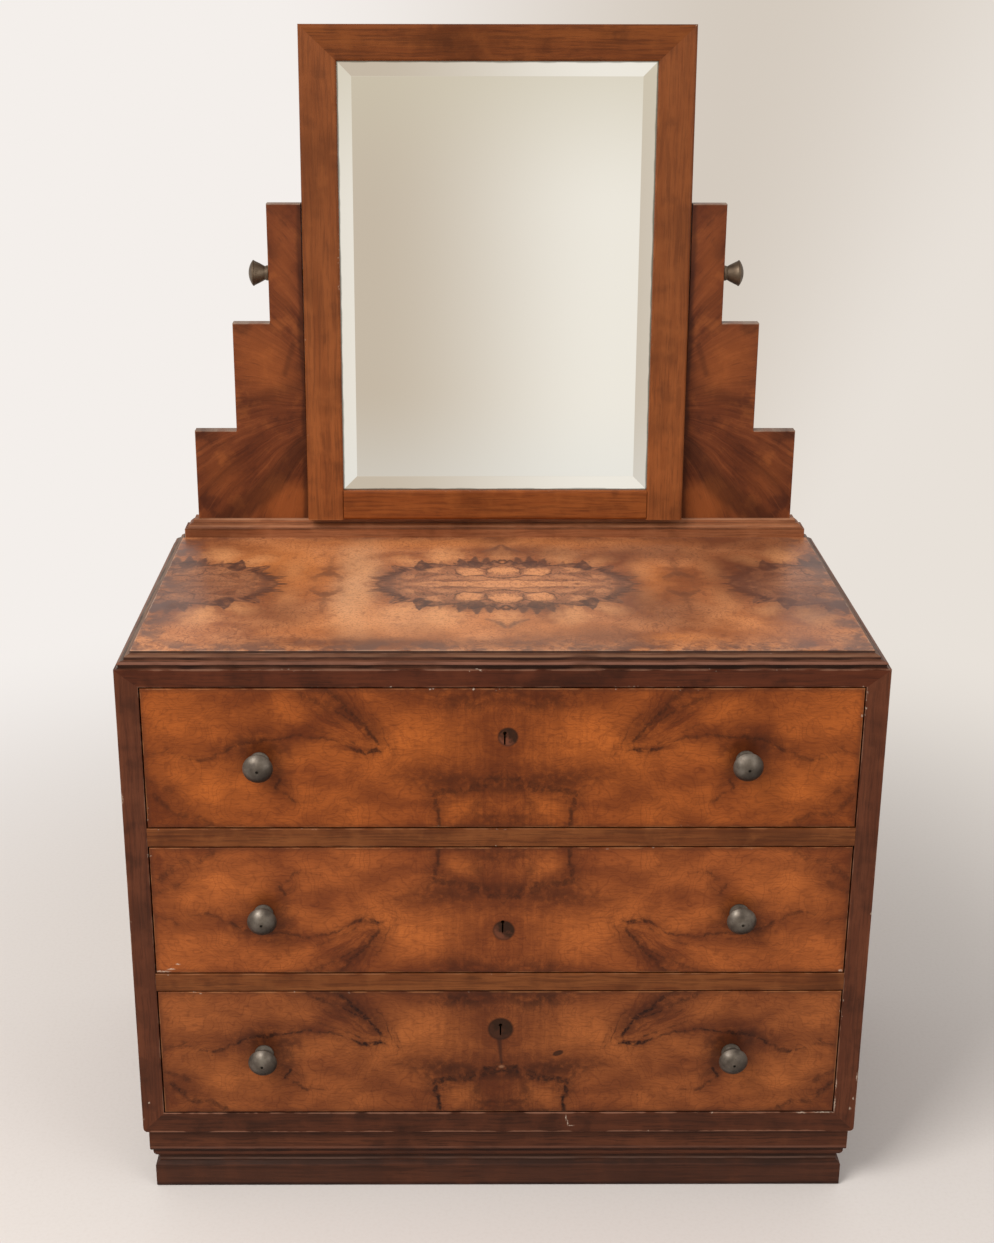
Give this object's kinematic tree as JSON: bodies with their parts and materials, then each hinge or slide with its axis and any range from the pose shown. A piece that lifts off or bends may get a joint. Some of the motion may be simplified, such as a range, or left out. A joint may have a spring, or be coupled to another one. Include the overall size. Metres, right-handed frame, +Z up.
{
  "type": "dresser with mirror",
  "caption": "Walnut dressing chest with full-width drawers, moulded top and plinth, and a tilting bevelled mirror hung between stepped supports.",
  "frame": {"origin": "on the floor, under the middle of the whole object's box", "axes": "+Z up, +X to the right of someone facing the chest, +Y from its front to its back"},
  "size_m": [0.914, 0.5589, 1.4324],
  "materials": {
    "burr_veneer": "French-polished burr walnut, worn satin",
    "figured_veneer": "French-polished figured walnut, book-matched",
    "support_veneer": "French-polished crown-cut walnut",
    "mirror_walnut": "polished straight-grained walnut",
    "rail_walnut": "polished straight-grained walnut",
    "frame_walnut": "dark stained walnut, edges rubbed",
    "plinth_walnut": "dark stained walnut, chipped",
    "side_veneer": "quartered walnut veneer, satin",
    "secondary_wood": "planed, unfinished",
    "plywood": "planed, unfinished",
    "bronze": "weathered bronze, dull",
    "brass_fittings": "tarnished brass",
    "steel_screws": "dull steel",
    "looking_glass": "silvered plate glass"
  },
  "bodies": {
    "chest": {"back_panel": "plywood", "batten_screws": "steel_screws", "divider_rail_lower": "rail_walnut", "divider_rail_upper": "rail_walnut", "front_bottom_rail": "frame_walnut", "front_stile_left": "frame_walnut", "front_stile_right": "frame_walnut", "front_top_rail": "frame_walnut", "mirror_base_rail": "mirror_walnut", "mirror_support_left": "support_veneer", "mirror_support_right": "support_veneer", "plinth_back": "secondary_wood", "plinth_front": "plinth_walnut", "plinth_left": "plinth_walnut", "plinth_right": "plinth_walnut", "rear_rails": "secondary_wood", "runners_and_kickers": "secondary_wood", "side_panel_left": "side_veneer", "side_panel_right": "side_veneer", "support_battens": "secondary_wood", "top_board": "burr_veneer", "top_moulding_front": "frame_walnut", "top_moulding_left": "frame_walnut", "top_moulding_right": "frame_walnut"},
    "mirror": {"mirror_back_board": "plywood", "mirror_bottom_rail": "mirror_walnut", "mirror_glass": "looking_glass", "mirror_stile_left": "mirror_walnut", "mirror_stile_right": "mirror_walnut", "mirror_top_rail": "mirror_walnut", "pivot_plates": "brass_fittings"},
    "thumb_screw_left": {"thumb_knob_left": "bronze"},
    "thumb_screw_right": {"thumb_knob_right": "bronze"},
    "top_drawer": {"top_drawer_back": "secondary_wood", "top_drawer_bottom": "plywood", "top_drawer_front": "figured_veneer", "top_drawer_knob_left": "bronze", "top_drawer_knob_right": "bronze", "top_drawer_lock": "brass_fittings", "top_drawer_side_left": "secondary_wood", "top_drawer_side_right": "secondary_wood"},
    "top_lock_bolt": {"top_drawer_lock_bolt": "brass_fittings"},
    "middle_drawer": {"middle_drawer_back": "secondary_wood", "middle_drawer_bottom": "plywood", "middle_drawer_front": "figured_veneer", "middle_drawer_knob_left": "bronze", "middle_drawer_knob_right": "bronze", "middle_drawer_lock": "brass_fittings", "middle_drawer_side_left": "secondary_wood", "middle_drawer_side_right": "secondary_wood"},
    "middle_lock_bolt": {"middle_drawer_lock_bolt": "brass_fittings"},
    "bottom_drawer": {"bottom_drawer_back": "secondary_wood", "bottom_drawer_bottom": "plywood", "bottom_drawer_front": "figured_veneer", "bottom_drawer_knob_left": "bronze", "bottom_drawer_knob_right": "bronze", "bottom_drawer_lock": "brass_fittings", "bottom_drawer_side_left": "secondary_wood", "bottom_drawer_side_right": "secondary_wood"},
    "bottom_lock_bolt": {"bottom_drawer_lock_bolt": "brass_fittings"}
  },
  "joints": [
    {"name": "top_drawer_slide", "type": "slide", "parent": "chest", "child": "top_drawer", "axis": [0, -1, 0], "range_m": [0, 0.36]},
    {"name": "top_bolt_slide", "type": "slide", "parent": "top_drawer", "child": "top_lock_bolt", "axis": [0, 0, 1], "range_m": [0, 0.008]},
    {"name": "middle_drawer_slide", "type": "slide", "parent": "chest", "child": "middle_drawer", "axis": [0, -1, 0], "range_m": [0, 0.36]},
    {"name": "middle_bolt_slide", "type": "slide", "parent": "middle_drawer", "child": "middle_lock_bolt", "axis": [0, 0, 1], "range_m": [0, 0.008]},
    {"name": "bottom_drawer_slide", "type": "slide", "parent": "chest", "child": "bottom_drawer", "axis": [0, -1, 0], "range_m": [0, 0.36]},
    {"name": "bottom_bolt_slide", "type": "slide", "parent": "bottom_drawer", "child": "bottom_lock_bolt", "axis": [0, 0, 1], "range_m": [0, 0.008]},
    {"name": "mirror_tilt", "type": "hinge", "parent": "chest", "child": "mirror", "pos_m": [0, 0.2525, 1.111], "axis": [1, 0, 0], "range_deg": [-26.5, 33.5]},
    {"name": "thumb_screw_left_turn", "type": "hinge", "parent": "mirror", "child": "thumb_screw_left", "pos_m": [-0.3087, 0.2525, 1.111], "axis": [-1, 0, 0], "continuous": true},
    {"name": "thumb_screw_right_turn", "type": "hinge", "parent": "mirror", "child": "thumb_screw_right", "pos_m": [0.3087, 0.2525, 1.111], "axis": [1, 0, 0], "continuous": true}
  ]
}
